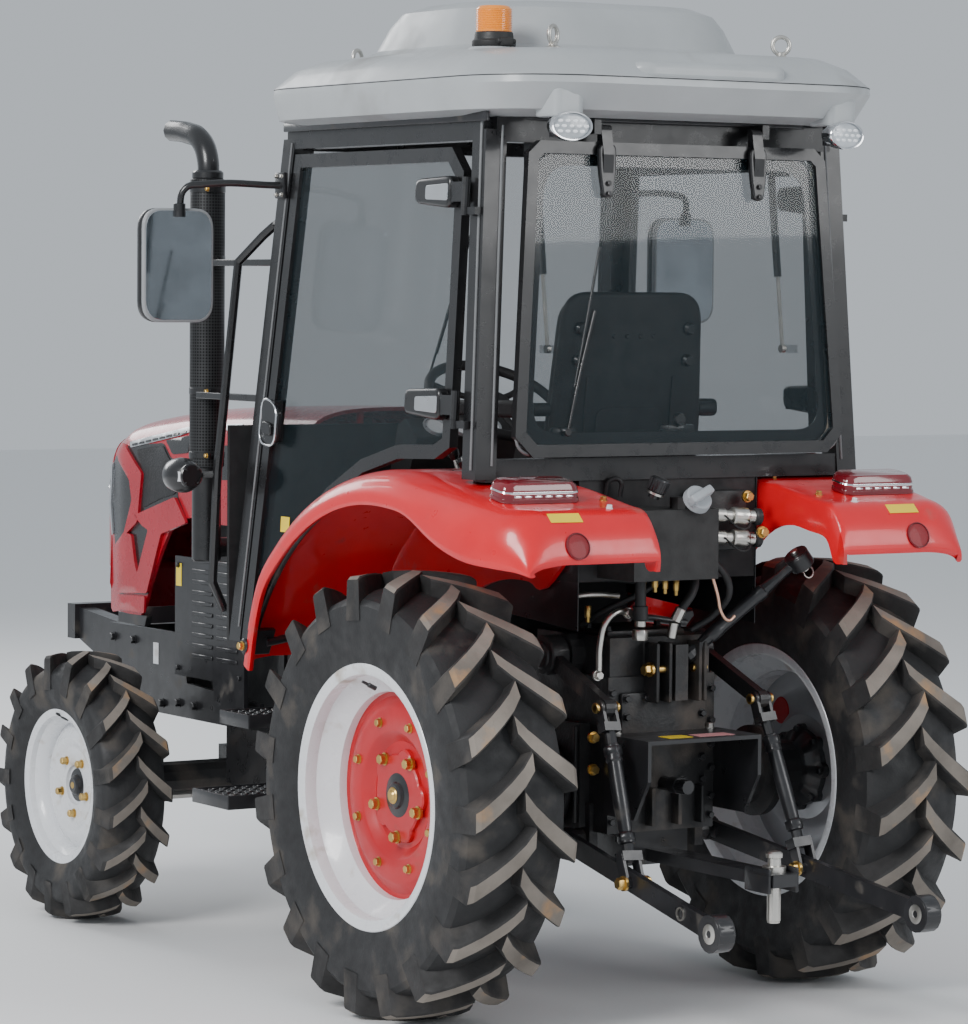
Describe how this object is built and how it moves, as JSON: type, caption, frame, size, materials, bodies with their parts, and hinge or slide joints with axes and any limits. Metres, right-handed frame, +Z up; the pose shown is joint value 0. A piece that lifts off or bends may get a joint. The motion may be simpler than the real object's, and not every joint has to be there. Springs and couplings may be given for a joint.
{
  "type": "compact cab farm tractor",
  "caption": "Small four-wheel-drive farm tractor with a closed glass cab, lifting hood, hinged doors and rear window, steered front wheels and a rear three-point hitch.",
  "frame": {"origin": "middle of the footprint, on the floor", "axes": "+Z up, -Y to the front of the tractor, +X to its left side"},
  "size_m": [1.81, 3.505, 2.5213],
  "materials": {
    "black": "satin",
    "rubber": "matte",
    "white": "satin",
    "steel": "satin",
    "plastic": "matte",
    "dark_red": "gloss",
    "red": "gloss",
    "roof_grey": "satin",
    "glass": "gloss",
    "amber": "gloss",
    "lamp_red": "gloss"
  },
  "bodies": {
    "chassis": {"front_axle": "black", "front_frame": "black", "engine_block": "black", "transmission_housing": "black", "fuel_tank": "plastic", "exhaust_stack": "black", "cab_frame": "black", "cab_floor": "plastic", "windscreen": "glass", "dash": "plastic", "seat_cushion": "plastic", "seat_back": "plastic", "roof": "roof_grey", "beacon": "amber", "work_lamp_left": "steel", "work_lamp_right": "steel", "fender_left": "red", "fender_right": "red", "tail_lamp_left": "lamp_red", "tail_lamp_right": "lamp_red", "mirror_left": "black", "mirror_right": "black", "handrail_left": "black", "handrail_right": "black", "step_left": "black", "step_right": "black", "drawbar": "black", "pto_guard": "black", "filler_box": "plastic"},
    "rear_wheel_left": {"rear_tyre_left": "rubber", "rear_wheel_left": "white"},
    "knuckle_left": {"knuckle_left": "black"},
    "front_wheel_left": {"front_tyre_left": "rubber", "front_wheel_left": "white"},
    "rear_wheel_right": {"rear_tyre_right": "rubber", "rear_wheel_right": "white"},
    "knuckle_right": {"knuckle_right": "black"},
    "front_wheel_right": {"front_tyre_right": "rubber", "front_wheel_right": "white"},
    "tie_rod": {"tie_rod": "steel"},
    "steering_wheel": {"steering_wheel": "plastic"},
    "door_left": {"door_frame_left": "black", "door_glass_left": "glass"},
    "door_right": {"door_frame_right": "black", "door_glass_right": "glass"},
    "rear_window": {"rear_window_frame": "black", "rear_window_glass": "glass"},
    "strut_tube_left": {"strut_tube_left": "black"},
    "strut_rod_left": {"strut_rod_left": "steel"},
    "strut_tube_right": {"strut_tube_right": "black"},
    "strut_rod_right": {"strut_rod_right": "steel"},
    "hood": {"hood": "dark_red"},
    "lift_arms": {"lift_arm_left": "black", "lift_arm_right": "black"},
    "lift_rod_left": {"lift_rod_left": "black"},
    "lower_link_left": {"lower_link_left": "black"},
    "lift_rod_right": {"lift_rod_right": "black"},
    "lower_link_right": {"lower_link_right": "black"},
    "top_link": {"top_link": "black"},
    "pto_shaft": {"pto_shaft": "steel"}
  },
  "joints": [
    {"name": "rear_wheel_left_spin", "type": "hinge", "parent": "chassis", "child": "rear_wheel_left", "pos_m": [0.597, 0.8175, 0.552], "axis": [1, 0, 0], "continuous": true},
    {"name": "rear_wheel_right_spin", "type": "hinge", "parent": "chassis", "child": "rear_wheel_right", "pos_m": [-0.597, 0.8175, 0.552], "axis": [1, 0, 0], "continuous": true},
    {"name": "steer_left", "type": "hinge", "parent": "chassis", "child": "knuckle_left", "pos_m": [0.46, -0.9725, 0.38], "axis": [0, 0, 1], "range_deg": [-35, 35]},
    {"name": "front_wheel_left_spin", "type": "hinge", "parent": "knuckle_left", "child": "front_wheel_left", "pos_m": [0.6, -0.9725, 0.38], "axis": [1, 0, 0], "continuous": true},
    {"name": "steer_right", "type": "hinge", "parent": "chassis", "child": "knuckle_right", "pos_m": [-0.46, -0.9725, 0.38], "axis": [0, 0, 1], "range_deg": [-35, 35]},
    {"name": "front_wheel_right_spin", "type": "hinge", "parent": "knuckle_right", "child": "front_wheel_right", "pos_m": [-0.6, -0.9725, 0.38], "axis": [1, 0, 0], "continuous": true},
    {"name": "tie_rod_slide", "type": "slide", "parent": "chassis", "child": "tie_rod", "axis": [1, 0, 0], "range_m": [-0.074, 0.074]},
    {"name": "steering_wheel_turn", "type": "hinge", "parent": "chassis", "child": "steering_wheel", "pos_m": [0, 0.2478, 1.5], "axis": [0, 0.5, 0.866], "range_deg": [-421, 421]},
    {"name": "door_left_swing", "type": "hinge", "parent": "chassis", "child": "door_left", "pos_m": [0.58408, 0.9875, 1.5], "axis": [-0.0529, 0, 0.9986], "range_deg": [0, 75]},
    {"name": "door_right_swing", "type": "hinge", "parent": "chassis", "child": "door_right", "pos_m": [-0.58408, 0.9875, 1.5], "axis": [-0.0529, 0, -0.9986], "range_deg": [0, 75]},
    {"name": "rear_window_lift", "type": "hinge", "parent": "chassis", "child": "rear_window", "pos_m": [0, 1.0925, 2.185], "axis": [1, 0, 0], "range_deg": [0, 50]},
    {"name": "strut_left_swing", "type": "hinge", "parent": "chassis", "child": "strut_tube_left", "pos_m": [0.354, 0.9875, 2.1], "axis": [1, 0, 0], "range_deg": [0, 52.5]},
    {"name": "strut_left_slide", "type": "slide", "parent": "strut_tube_left", "child": "strut_rod_left", "axis": [0, 0.1281, -0.9918], "range_m": [0, 0.1135]},
    {"name": "strut_right_swing", "type": "hinge", "parent": "chassis", "child": "strut_tube_right", "pos_m": [-0.354, 0.9875, 2.1], "axis": [1, 0, 0], "range_deg": [0, 52.5]},
    {"name": "strut_right_slide", "type": "slide", "parent": "strut_tube_right", "child": "strut_rod_right", "axis": [0, 0.1281, -0.9918], "range_m": [0, 0.1135]},
    {"name": "hood_lift", "type": "hinge", "parent": "chassis", "child": "hood", "pos_m": [0, -0.2325, 1.428], "axis": [-1, 0, 0], "range_deg": [0, 50]},
    {"name": "lift_arms_raise", "type": "hinge", "parent": "chassis", "child": "lift_arms", "pos_m": [0, 0.8675, 0.885], "axis": [1, 0, 0], "range_deg": [-8, 42]},
    {"name": "lift_rod_left_swing", "type": "hinge", "parent": "lift_arms", "child": "lift_rod_left", "pos_m": [0.232, 1.1345, 0.778], "axis": [1, 0, 0], "range_deg": [-46.5, 9.2]},
    {"name": "lower_link_left_swing", "type": "hinge", "parent": "chassis", "child": "lower_link_left", "pos_m": [0.22, 0.9375, 0.43], "axis": [1, 0, 0], "range_deg": [-6, 31]},
    {"name": "lift_rod_right_swing", "type": "hinge", "parent": "lift_arms", "child": "lift_rod_right", "pos_m": [-0.232, 1.1345, 0.778], "axis": [1, 0, 0], "range_deg": [-46.5, 9.2]},
    {"name": "lower_link_right_swing", "type": "hinge", "parent": "chassis", "child": "lower_link_right", "pos_m": [-0.22, 0.9375, 0.43], "axis": [1, 0, 0], "range_deg": [-6, 31]},
    {"name": "top_link_swing", "type": "hinge", "parent": "chassis", "child": "top_link", "pos_m": [-0.06, 1.0675, 0.891], "axis": [-0.6402, 0, -0.7682], "range_deg": [0, 80]},
    {"name": "pto_shaft_spin", "type": "hinge", "parent": "chassis", "child": "pto_shaft", "pos_m": [0, 1.0375, 0.57], "axis": [0, 1, 0], "continuous": true}
  ],
  "couplings": [
    {"joint": "steer_right", "follows": "steer_left", "ratio": 1},
    {"joint": "tie_rod_slide", "follows": "steer_left", "m_per_rad": -0.12},
    {"joint": "steering_wheel_turn", "follows": "steer_left", "ratio": 12},
    {"joint": "strut_left_swing", "follows": "rear_window_lift", "ratio": 1.048},
    {"joint": "strut_left_slide", "follows": "rear_window_lift", "m_per_rad": 0.1294},
    {"joint": "strut_right_swing", "follows": "rear_window_lift", "ratio": 1.048},
    {"joint": "strut_right_slide", "follows": "rear_window_lift", "m_per_rad": 0.1294},
    {"joint": "lift_rod_left_swing", "follows": "lift_arms_raise", "ratio": -1.0986},
    {"joint": "lower_link_left_swing", "follows": "lift_arms_raise", "ratio": 0.7356},
    {"joint": "lift_rod_right_swing", "follows": "lift_arms_raise", "ratio": -1.0986},
    {"joint": "lower_link_right_swing", "follows": "lift_arms_raise", "ratio": 0.7356}
  ]
}
